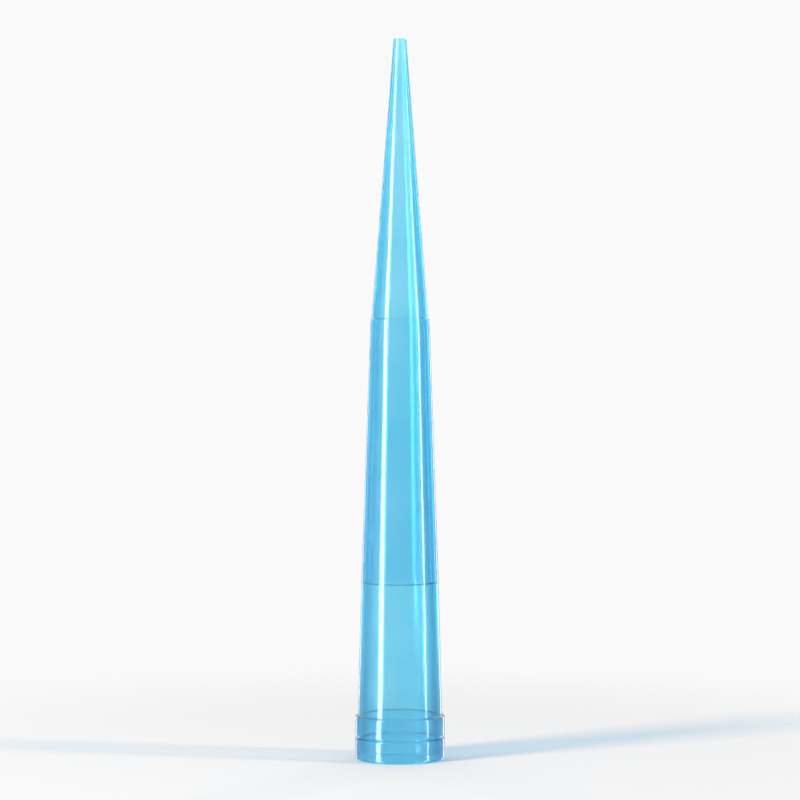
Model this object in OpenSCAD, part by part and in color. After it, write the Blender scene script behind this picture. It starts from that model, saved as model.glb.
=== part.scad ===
// Universal 1000 microlitre pipette tip, moulded in one piece.
// It stands on its mouth rim: the origin is the centre of the rim's face and
// +Z runs along the axis, from the mouth up to the orifice.
// Heights are measured from the rim. Units are millimetres.

/* [Overall] */
// Length from the mouth rim to the orifice
tip_length = 71; // [62:0.5:90]

/* [Socket] */
// Bore diameter of the socket at the mouth
mouth_bore = 7.7; // [6.8:0.05:9]
// Taper of the socket on each side, in degrees
socket_taper = 1.5; // [0.5:0.1:2]
// Depth of the socket, from the rim to its stop ledge
socket_depth = 17.5; // [12:0.5:24]
// Width of the stop ledge at the end of the socket
stop_ledge = 0.2; // [0.05:0.05:0.3]
// Width and depth of the bevel that leads into the mouth
mouth_bevel = 0.15; // [0.05:0.05:0.25]

/* [Collar] */
// Number of raised bands round the mouth
band_count = 2; // [1:1:4]
// Height of each band
band_height = 2.2; // [1.4:0.1:2.8]
// How far the face of a band stands out from the grooves
band_relief = 0.16; // [0.05:0.01:0.2]
// Radius of the rounded edges of a band
band_edge = 0.3; // [0.2:0.05:0.5]
// How much each band lies inside the one before it
band_draft = 0.03; // [0:0.01:0.06]
// Wall thickness of the collar at its grooves, under the bands
collar_wall = 0.45; // [0.4:0.01:0.8]

/* [Barrel] */
// Wall thickness around the socket
socket_wall = 0.44; // [0.35:0.01:0.7]
// Height of the shoulder where the barrel ends and the nozzle begins
shoulder_height = 43.5; // [32:0.5:52]
// Bore diameter at the shoulder
shoulder_bore = 4.85; // [4:0.05:5.4]
// Wall thickness of the barrel just before the shoulder
shoulder_wall = 0.5; // [0.4:0.01:0.8]
// Width of the step down from the barrel to the nozzle
shoulder_step = 0.1; // [0.05:0.01:0.15]

/* [Nozzle] */
// Bore diameter of the orifice
orifice_bore = 0.8; // [0.4:0.05:1.4]
// Length of the straight bore that ends at the orifice
orifice_land = 1.5; // [0.5:0.1:4]
// Wall thickness at the orifice
orifice_wall = 0.23; // [0.15:0.01:0.4]

/* [Hidden] */
$fn = 180;

plastic_colour = [0.44, 0.78, 0.93, 0.75];

// Radius of the tapered socket bore at height z.
function socket_radius(z) = mouth_bore / 2 - z * tan(socket_taper);

collar_radius = mouth_bore / 2 + collar_wall;
barrel_top_radius = shoulder_bore / 2 + shoulder_wall;
orifice_radius = orifice_bore / 2;
// The bore cutter runs this far past the rim and the orifice.
overrun = 1;

module pipette_tip() {
    color(plastic_colour)
        rotate_extrude()
            wall_section();
}

// Half section of the moulded wall, as [radius, height].
module wall_section() {
    difference() {
        union() {
            body_section();
            collar_section();
        }
        bore_section();
    }
}

// Outside of the barrel and the nozzle, solid to the axis.
module body_section() {
    polygon([
        [0, 0],
        [socket_radius(0) + socket_wall, 0],
        [socket_radius(socket_depth) + socket_wall, socket_depth],
        [barrel_top_radius, shoulder_height],
        [barrel_top_radius - shoulder_step, shoulder_height + shoulder_step],
        [orifice_radius + orifice_wall, tip_length],
        [0, tip_length]
    ]);
}

// Flat bands round the mouth, each a little inside the last.
module collar_section() {
    for (i = [0 : band_count - 1])
        translate([0, i * band_height])
            band_section(collar_radius - i * band_draft);
}

// One band: its rounded edges run down to the grooves at groove_radius.
module band_section(groove_radius) {
    face_radius = groove_radius + band_relief;
    edge_height = sqrt(pow(band_edge, 2) - pow(band_edge - band_relief, 2));
    square([groove_radius, band_height]);
    translate([0, edge_height])
        square([face_radius, band_height - 2 * edge_height]);
    for (z = [edge_height, band_height - edge_height])
        intersection() {
            square([face_radius, band_height]);
            translate([face_radius - band_edge, z])
                circle(band_edge);
        }
}

// The hollow: bevelled mouth, tapered socket, ledge, reservoir, nozzle, land.
module bore_section() {
    polygon([
        [0, -overrun],
        [socket_radius(0) + mouth_bevel, -overrun],
        [socket_radius(0) + mouth_bevel, 0],
        [socket_radius(mouth_bevel), mouth_bevel],
        [socket_radius(socket_depth), socket_depth],
        [socket_radius(socket_depth) - stop_ledge, socket_depth],
        [shoulder_bore / 2, shoulder_height],
        [orifice_radius, tip_length - orifice_land],
        [orifice_radius, tip_length + overrun],
        [0, tip_length + overrun]
    ]);
}

pipette_tip();
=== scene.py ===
"""A 1000 microlitre pipette tip in clear blue polypropylene, stood on its mouth rim."""

import math

import bpy
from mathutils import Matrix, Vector


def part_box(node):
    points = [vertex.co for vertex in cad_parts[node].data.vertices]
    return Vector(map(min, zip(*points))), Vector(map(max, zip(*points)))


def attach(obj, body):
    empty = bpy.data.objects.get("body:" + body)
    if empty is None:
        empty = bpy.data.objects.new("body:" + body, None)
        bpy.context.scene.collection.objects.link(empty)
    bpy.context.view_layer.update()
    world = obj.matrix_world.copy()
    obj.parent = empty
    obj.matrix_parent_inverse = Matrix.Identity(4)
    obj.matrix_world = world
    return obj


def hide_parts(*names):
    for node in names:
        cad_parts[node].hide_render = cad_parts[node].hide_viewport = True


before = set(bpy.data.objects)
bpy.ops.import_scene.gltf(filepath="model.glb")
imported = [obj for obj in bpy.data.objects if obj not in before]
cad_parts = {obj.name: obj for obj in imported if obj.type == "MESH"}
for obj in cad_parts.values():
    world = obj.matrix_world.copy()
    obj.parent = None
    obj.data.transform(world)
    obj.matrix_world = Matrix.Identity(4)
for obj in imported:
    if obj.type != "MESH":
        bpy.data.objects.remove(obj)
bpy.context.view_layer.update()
scene = bpy.context.scene

MM = 0.001

# Sizes of the tip in millimetres, as in the solid. Heights are from the rim.
TIP_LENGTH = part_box("pipette_tip")[1].z / MM
MOUTH_RADIUS = 3.85
SOCKET_TAPER = math.tan(math.radians(1.5))
SOCKET_DEPTH = 17.5
SOCKET_WALL = 0.44
STOP_LEDGE = 0.2
MOUTH_BEVEL = 0.15
BAND_COUNT = 2
BAND_HEIGHT = 2.2
BAND_RELIEF = 0.16
BAND_EDGE = 0.3
BAND_DRAFT = 0.03
COLLAR_WALL = 0.45
SHOULDER_HEIGHT = 43.5
SHOULDER_BORE = 2.425
SHOULDER_WALL = 0.5
SHOULDER_STEP = 0.1
ORIFICE_RADIUS = 0.4
ORIFICE_WALL = 0.23
ORIFICE_LAND = 1.5

# How finely the moulding is divided: round it, along it in millimetres, and in
# the arcs of its edges.
SEGMENTS = 256
LONGEST_RUN = 1.5
BAND_EDGE_STEPS = 8
FILLET_STEPS = 6

# The plastic. A pair goes from its clearest places to its milkiest.
REFRACTION = 1.49
ROUGHNESS = (0.07, 0.14)
CLEARNESS = (0.975, 0.92)
POLISH_DEPTH = 0.00002
FACE_ON = (0.84, 0.955, 0.99, 1.0)
STREAK = (0.74, 0.93, 0.98, 1.0)
# Painted shade: the deeper blue that walls seen aslant are painted with.
EDGE_PAINTED_SHADE = (0.0, 0.46, 0.62, 1.0)
PASSING = (0.95, 0.98, 0.99, 1.0)
DYE = (0.02, 0.785, 0.92, 1.0)
DYE_DENSITY = 1950.0

# How fine the plastic's patterns are, per metre. Two are drawn out along the axis.
CLOUDS = 260.0
POLISH = (900.0, 900.0, 70.0)
STREAKS = (420.0, 420.0, 24.0)

# The room. The floor's paper fades into the backdrop between two distances.
WHITE = (1.0, 1.0, 1.0, 1.0)
BACKDROP_LIGHT = 0.95
ROOM_LIGHT = 0.25
FLOOR_RADIUS = 0.09
FLOOR_FADE = (0.03, 0.085)
PAPER = (0.86, 0.86, 0.865, 1.0)

# The softboxes: azimuth and elevation in degrees from the front, distance, width
# and height in metres, and the white that they show.
SOFTBOXES = {
    "key_strip": (-56, 8, 0.45, 0.10, 0.7, 20),
    "fill_strip": (76, 8, 0.45, 0.045, 0.7, 20),
    "back_strip_left": (-152, 8, 0.5, 0.02, 0.7, 8),
    "back_strip_right": (150, 8, 0.5, 0.03, 0.7, 8),
    "overhead": (0, 88, 0.6, 0.4, 0.4, 1.0),
}

# The camera: degrees above level, its lens, and the tip's share of the frame.
ELEVATION = 2
LENS = 150
FILL = 0.90
NEAREST = 0.005


# ---------------------------------------------------------------- the moulding


def socket_radius(z):
    """Radius of the socket's tapered bore at height z."""
    return MOUTH_RADIUS - z * SOCKET_TAPER


def band_edge(face, z, side):
    """Corners of a band's rounded edge, from its face to its end at height z.

    side is 1 for the band's upper edge and -1 for its lower one.
    """
    sweep = math.acos(1 - BAND_RELIEF / BAND_EDGE)
    reach = BAND_EDGE * math.sin(sweep)
    edge = []
    for k in range(BAND_EDGE_STEPS + 1):
        turn = sweep * k / BAND_EDGE_STEPS
        radius = face - BAND_EDGE * (1 - math.cos(turn))
        edge.append((radius, z + side * (BAND_EDGE * math.sin(turn) - reach), 0))
    return edge


def collar_corners():
    """Corners of the flat bands round the mouth, from the rim to the collar's top."""
    corners = []
    for index in range(BAND_COUNT):
        foot = MOUTH_RADIUS + COLLAR_WALL - index * BAND_DRAFT
        bottom, top = index * BAND_HEIGHT, (index + 1) * BAND_HEIGHT
        lower = band_edge(foot + BAND_RELIEF, bottom, -1)[::-1]
        upper = band_edge(foot + BAND_RELIEF, top, 1)
        if index == 0:
            corners += [(foot, bottom, 0.05)] + lower[1:]
        else:
            # The fillet in the groove between two bands takes the place of the
            # two corners beside it.
            del corners[-2:]
            corners += [(foot + BAND_DRAFT / 2, bottom, 0.03)] + lower[2:]
        corners += upper
    radius, top, _ = corners.pop()
    corners.append((radius, top, 0.02))
    return corners


def wall_corners():
    """Corners of the moulded wall's half section, as (radius, height, fillet)."""
    collar_top = BAND_COUNT * BAND_HEIGHT
    barrel_top = SHOULDER_BORE + SHOULDER_WALL
    outside = [
        (socket_radius(collar_top) + SOCKET_WALL, collar_top, 0.035),
        (socket_radius(SOCKET_DEPTH) + SOCKET_WALL, SOCKET_DEPTH, 4.0),
        (barrel_top, SHOULDER_HEIGHT, 0.05),
        (barrel_top - SHOULDER_STEP, SHOULDER_HEIGHT + SHOULDER_STEP, 0.08),
        (ORIFICE_RADIUS + ORIFICE_WALL, TIP_LENGTH, 0.07),
    ]
    inside = [
        (ORIFICE_RADIUS, TIP_LENGTH, 0.05),
        (ORIFICE_RADIUS, TIP_LENGTH - ORIFICE_LAND, 1.0),
        (SHOULDER_BORE, SHOULDER_HEIGHT, 3.0),
        (socket_radius(SOCKET_DEPTH) - STOP_LEDGE, SOCKET_DEPTH, 0.06),
        (socket_radius(SOCKET_DEPTH), SOCKET_DEPTH, 0.06),
        (socket_radius(MOUTH_BEVEL), MOUTH_BEVEL, 0.12),
        (MOUTH_RADIUS + MOUTH_BEVEL, 0, 0.06),
    ]
    return collar_corners() + outside + inside


def fillet(before, here, after, radius):
    """Points of an arc of that radius that rounds the corner at here."""
    to_before = (before - here).normalized()
    to_after = (after - here).normalized()
    half = to_before.angle(to_after) / 2
    reach = radius / math.tan(half)
    middle = here + (to_before + to_after).normalized() * (radius / math.sin(half))
    start = here + to_before * reach - middle
    end = here + to_after * reach - middle
    sweep = start.angle(end)
    return [
        middle
        + start * (math.sin((1 - k / FILLET_STEPS) * sweep) / math.sin(sweep))
        + end * (math.sin(k / FILLET_STEPS * sweep) / math.sin(sweep))
        for k in range(FILLET_STEPS + 1)
    ]


def wall_outline():
    """The half section with its corners rounded and its long runs divided."""
    corners = wall_corners()
    spots = [Vector(corner[:2]) for corner in corners]
    rounded = []
    for i, (here, corner) in enumerate(zip(spots, corners)):
        if corner[2]:
            before, after = spots[i - 1], spots[(i + 1) % len(spots)]
            rounded += fillet(before, here, after, corner[2])
        else:
            rounded.append(here)
    outline = []
    for i, here in enumerate(rounded):
        after = rounded[(i + 1) % len(rounded)]
        parts = math.ceil((after - here).length / LONGEST_RUN)
        outline += [here.lerp(after, k / parts) for k in range(parts)]
    return outline


def outline_normals(outline):
    """The outward normal at each point, led by the longer of its two runs."""
    runs = [outline[(i + 1) % len(outline)] - p for i, p in enumerate(outline)]
    normals = []
    for i in range(len(outline)):
        along = runs[i - 1] * runs[i - 1].length + runs[i] * runs[i].length
        normals.append(Vector((along.y, -along.x)).normalized())
    return normals


def lathe(name, outline):
    """A smooth closed body of revolution about Z, from an outline in millimetres."""
    rows = len(outline)
    normals = outline_normals(outline)
    turns = [2 * math.pi * s / SEGMENTS for s in range(SEGMENTS)]
    vertices = [
        (p.x * math.cos(a) * MM, p.x * math.sin(a) * MM, p.y * MM)
        for a in turns
        for p in outline
    ]
    smooth = [
        (n.x * math.cos(a), n.x * math.sin(a), n.y) for a in turns for n in normals
    ]
    faces = []
    for s in range(SEGMENTS):
        here, there = s * rows, (s + 1) % SEGMENTS * rows
        for i in range(rows):
            j = (i + 1) % rows
            faces.append((here + i, there + i, there + j, here + j))
    mesh = bpy.data.meshes.new(name)
    mesh.from_pydata(vertices, [], faces)
    mesh.shade_smooth()
    mesh.normals_split_custom_set_from_vertices(smooth)
    piece = bpy.data.objects.new(name, mesh)
    scene.collection.objects.link(piece)
    return piece


# ---------------------------------------------------------------- materials


class Nodes:
    """A short way to add and join the nodes of one material or world."""

    def __init__(self, owner):
        owner.use_nodes = True
        self.tree = owner.node_tree
        self.tree.nodes.clear()

    def add(self, kind, **settings):
        """A node with those settings and sockets, where _ stands for a space."""
        node = self.tree.nodes.new(kind)
        for key, value in settings.items():
            if hasattr(node, key):
                setattr(node, key, value)
            else:
                self.put(node, key.replace("_", " "), value)
        return node

    def put(self, node, name, value):
        """Sets a node's socket, by its name or its number."""
        self.fill(node.inputs[name], value)

    def fill(self, socket, value):
        """Joins an output to a socket, or sets the socket to a value."""
        if isinstance(value, bpy.types.NodeSocket):
            self.tree.links.new(value, socket)
        else:
            socket.default_value = value

    def noise(self, place, scale, detail):
        """A noise at one scale, or at its own scale on each axis."""
        if isinstance(scale, tuple):
            place = self.add("ShaderNodeMapping", Vector=place, Scale=scale).outputs[0]
            scale = 1.0
        node = self.add("ShaderNodeTexNoise", Vector=place, Scale=scale, Detail=detail)
        return node.outputs[0]

    def ramp(self, value, inputs, outputs, way="LINEAR"):
        """A value taken from one range to another, and held at its ends."""
        node = self.add("ShaderNodeMapRange", interpolation_type=way, Value=value)
        names = ("From Min", "From Max", "To Min", "To Max")
        for name, number in zip(names, inputs + outputs):
            self.put(node, name, number)
        return node.outputs[0]

    def combine(self, operation, first, second):
        """One number worked out from two."""
        node = self.add("ShaderNodeMath", operation=operation)
        self.put(node, 0, first)
        self.put(node, 1, second)
        return node.outputs[0]

    def blend(self, share, first, second):
        """A colour between two others."""
        node = self.add("ShaderNodeMix", data_type="RGBA")
        sockets = [socket for socket in node.inputs if socket.enabled]
        for socket, value in zip(sockets, (share, first, second)):
            self.fill(socket, value)
        return next(socket for socket in node.outputs if socket.enabled)

    def mix(self, share, first, second):
        """One shader that goes over to another."""
        node = self.add("ShaderNodeMixShader")
        for index, value in enumerate((share, first, second)):
            self.put(node, index, value)
        return node.outputs[0]


def clear_plastic():
    """Glossy clear polypropylene, dyed sky blue, with the real one's faint haze."""
    material = bpy.data.materials.new("blue_polypropylene")
    n = Nodes(material)
    place = n.add("ShaderNodeTexCoord").outputs["Object"]

    # Soft clouds in the wall: where it is milkier it is also a little rougher.
    clouds = n.noise(place, CLOUDS, detail=3.0)
    roughness = n.ramp(clouds, (0.3, 0.7), ROUGHNESS)
    clearness = n.ramp(clouds, (0.3, 0.7), CLEARNESS)

    # The mould's polish: long shallow waves along the axis.
    polish = n.noise(place, POLISH, detail=2.0)
    bump = n.add("ShaderNodeBump", Height=polish, Strength=0.25, Distance=POLISH_DEPTH)

    # The dye lies in faint streaks along the flow of the moulding.
    streaks = n.noise(place, STREAKS, detail=3.0)
    face_on = n.blend(n.ramp(streaks, (0.35, 0.65), (0.0, 1.0)), FACE_ON, STREAK)

    # Painted shade: walls seen aslant are painted a deeper blue by their facing angle,
    # standing in for the longer path of light through the dyed wall.
    painted_shade_facing = n.add("ShaderNodeLayerWeight", Blend=0.5)
    edge = n.ramp(painted_shade_facing.outputs["Facing"], (0.15, 0.65), (0.0, 1.0), "SMOOTHSTEP")

    plastic = n.add("ShaderNodeBsdfPrincipled", IOR=REFRACTION)
    # The base colour goes over to the painted edge shade where the wall is seen aslant.
    n.put(plastic, "Base Color", n.blend(edge, face_on, EDGE_PAINTED_SHADE))
    n.put(plastic, "Roughness", roughness)
    n.put(plastic, "Transmission Weight", clearness)
    n.put(plastic, "Normal", bump.outputs[0])

    # Lamps and light from the floor pass through instead of stopping at the wall.
    path = n.add("ShaderNodeLightPath")
    passing = n.add("ShaderNodeBsdfTransparent", Color=PASSING)
    surface = plastic.outputs[0]
    for ray in ("Is Diffuse Ray", "Is Shadow Ray"):
        surface = n.mix(path.outputs[ray], surface, passing.outputs[0])

    dye = n.add("ShaderNodeVolumeAbsorption", Color=DYE, Density=DYE_DENSITY)
    out = n.add("ShaderNodeOutputMaterial")
    n.put(out, "Surface", surface)
    n.put(out, "Volume", dye.outputs[0])
    return material


def seen_directly(n):
    """1 for rays that show the background: the camera's, a gloss's and a glass's."""
    path = n.add("ShaderNodeLightPath")
    seen = path.outputs["Is Camera Ray"]
    for ray in ("Is Glossy Ray", "Is Transmission Ray"):
        seen = n.combine("MAXIMUM", seen, path.outputs[ray])
    return seen


def floor_paper():
    """Pale matt paper that fades into the white background away from the tip."""
    material = bpy.data.materials.new("floor_paper")
    n = Nodes(material)
    place = n.add("ShaderNodeTexCoord").outputs["Object"]
    paper = n.add("ShaderNodeBsdfPrincipled", Base_Color=PAPER, Roughness=0.7)
    n.put(paper, "Specular IOR Level", 0.2)
    white = n.add("ShaderNodeEmission", Color=WHITE, Strength=BACKDROP_LIGHT)
    away = n.add("ShaderNodeVectorMath", operation="LENGTH")
    n.put(away, 0, place)
    fade = n.ramp(away.outputs["Value"], FLOOR_FADE, (0.0, 1.0), "SMOOTHSTEP")
    share = n.combine("MULTIPLY", fade, seen_directly(n))
    out = n.add("ShaderNodeOutputMaterial")
    n.put(out, "Surface", n.mix(share, paper.outputs[0], white.outputs[0]))
    return material


# ---------------------------------------------------------------- the tip

tip = lathe("tip_moulding", wall_outline())
tip.data.materials.append(clear_plastic())
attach(tip, "root")
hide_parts("pipette_tip")


# ---------------------------------------------------------------- floor and light

bpy.ops.mesh.primitive_circle_add(vertices=96, radius=FLOOR_RADIUS, fill_type="NGON")
floor = bpy.context.object
floor.name = "floor"
# It isn't mirrored in the plastic, so the lamps' bright lines run on to the rim.
floor.visible_glossy = False
floor.data.materials.append(floor_paper())

world = bpy.data.worlds.new("studio")
scene.world = world
w = Nodes(world)
room = w.add("ShaderNodeBackground", Color=WHITE, Strength=ROOM_LIGHT)
backdrop = w.add("ShaderNodeBackground", Color=WHITE, Strength=BACKDROP_LIGHT)
sky = w.add("ShaderNodeOutputWorld")
w.put(sky, "Surface", w.mix(seen_directly(w), room.outputs[0], backdrop.outputs[0]))

middle = Vector((0, 0, TIP_LENGTH / 2 * MM))


def softbox(name, azimuth, elevation, distance, width, height, brightness):
    """An area lamp that faces the middle of the tip."""
    a, e = math.radians(azimuth), math.radians(elevation)
    way = Vector((math.sin(a) * math.cos(e), -math.cos(a) * math.cos(e), math.sin(e)))
    data = bpy.data.lights.new(name, "AREA")
    data.shape = "RECTANGLE"
    data.size, data.size_y = width, height
    data.energy = brightness * math.pi * width * height
    lamp = bpy.data.objects.new(name, data)
    lamp.location = middle + way * distance
    lamp.rotation_mode = "QUATERNION"
    lamp.rotation_quaternion = way.to_track_quat("Z", "Y")
    scene.collection.objects.link(lamp)


for name, settings in SOFTBOXES.items():
    softbox(name, *settings)


# ---------------------------------------------------------------- camera

eye = bpy.data.cameras.new("camera")
eye.lens = LENS
eye.clip_start = NEAREST
camera = bpy.data.objects.new("camera", eye)
scene.collection.objects.link(camera)
scene.camera = camera
tilt = math.radians(ELEVATION)
back = Vector((0, -math.cos(tilt), math.sin(tilt)))
# Far enough back for the tip's length to take its share of the frame.
spread = eye.sensor_width / 2 / LENS
camera.location = middle + back * (TIP_LENGTH * MM / 2 / FILL / spread)
camera.rotation_mode = "QUATERNION"
camera.rotation_quaternion = back.to_track_quat("Z", "Y")

scene.view_settings.view_transform = "Standard"
scene.cycles.caustics_reflective = False
scene.cycles.caustics_refractive = False
